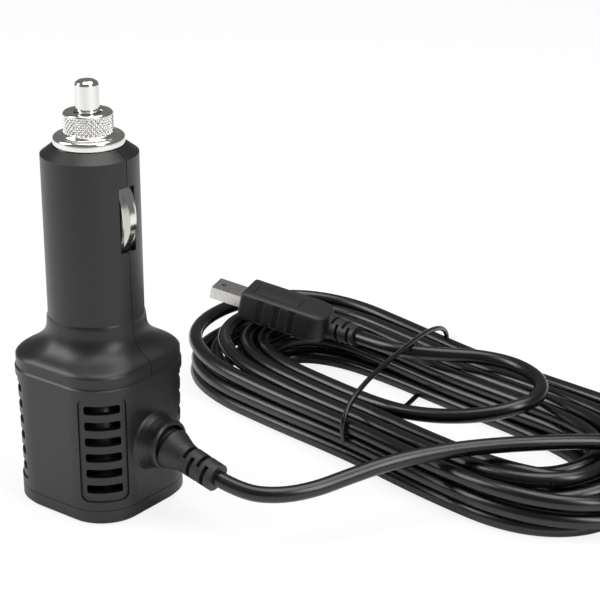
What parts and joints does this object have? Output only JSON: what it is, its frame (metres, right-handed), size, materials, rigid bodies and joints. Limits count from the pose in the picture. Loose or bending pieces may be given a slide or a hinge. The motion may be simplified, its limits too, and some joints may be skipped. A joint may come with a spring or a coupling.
{
  "type": "vehicle power adapter",
  "caption": "Lighter-socket plug with a ventilated converter head, sprung side contacts, screw cap with fuse, and a long tied lead ending in a small five-contact plug.",
  "frame": {"origin": "on the plug's axis at the underside of the head", "axes": "+Z along the plug towards its centre contact, +X the way the lead leaves the head"},
  "size_m": [0.145, 0.1224, 0.0939],
  "materials": {
    "moulded_abs": "satin black ABS with a fine grain",
    "cord_pvc": "semi-gloss black PVC",
    "soft_tpe": "dull grey-black TPE",
    "bright_nickel": "bright nickel plate",
    "plated_steel": "drawn nickel-plated steel",
    "glass": "clear glass tube",
    "fuse_element": "tinned wire",
    "board_laminate": "green glass-epoxy laminate",
    "component_black": "dull epoxy",
    "can_aluminium": "drawn aluminium",
    "brass_strip": "bright brass",
    "wire_sleeve": "red PVC insulation",
    "insulator": "dark nylon"
  },
  "bodies": {
    "adapter": {"front_shell": "moulded_abs", "rear_shell": "moulded_abs", "head_sleeve": "moulded_abs", "end_cap": "moulded_abs", "cable_boot": "soft_tpe", "fuse_tube": "insulator", "spring_seat": "brass_strip", "contact_spring": "plated_steel", "ground_straps": "brass_strip", "supply_wire": "wire_sleeve", "output_wires": "wire_sleeve", "cord_clamp": "insulator", "main_board": "board_laminate", "power_inductor": "component_black", "capacitors": "can_aluminium", "controller_chip": "component_black", "rectifier_diode": "component_black", "lead_cord": "cord_pvc", "cord_hank": "cord_pvc", "tail_cord": "cord_pvc", "hank_tie": "cord_pvc", "plug_body": "soft_tpe", "plug_boot": "soft_tpe", "plug_shell": "plated_steel", "plug_tongue": "insulator", "plug_contacts": "brass_strip"},
    "cap_carrier": {"cap_bush": "insulator"},
    "screw_cap": {"screw_cap": "bright_nickel"},
    "centre_contact": {"centre_contact": "bright_nickel", "fuse_end_caps": "plated_steel", "fuse_glass": "glass", "fuse_wire": "fuse_element"},
    "side_contact_right": {"side_contact_right": "bright_nickel"},
    "side_contact_left": {"side_contact_left": "bright_nickel"}
  },
  "joints": [
    {"name": "cap_lift", "type": "slide", "parent": "adapter", "child": "cap_carrier", "axis": [0, 0, 1], "range_m": [0, 0.0065]},
    {"name": "cap_turn", "type": "hinge", "parent": "cap_carrier", "child": "screw_cap", "pos_m": [0, 0, 0.08], "axis": [0, 0, 1], "range_deg": [0, 2339]},
    {"name": "pin_press", "type": "slide", "parent": "cap_carrier", "child": "centre_contact", "axis": [0, 0, -1], "range_m": [0, 0.004], "stiffness_N_per_m": 1000, "springref_m": -0.003, "deforming": ["contact_spring"]},
    {"name": "side_press_right", "type": "slide", "parent": "adapter", "child": "side_contact_right", "axis": [-1, 0, 0], "range_m": [0, 0.0014], "stiffness_N_per_m": 1500, "springref_m": -0.001},
    {"name": "side_press_left", "type": "slide", "parent": "adapter", "child": "side_contact_left", "axis": [1, 0, 0], "range_m": [0, 0.0014], "stiffness_N_per_m": 1500, "springref_m": -0.001}
  ],
  "couplings": [
    {"joint": "cap_lift", "follows": "cap_turn", "m_per_rad": 0.00015915}
  ]
}
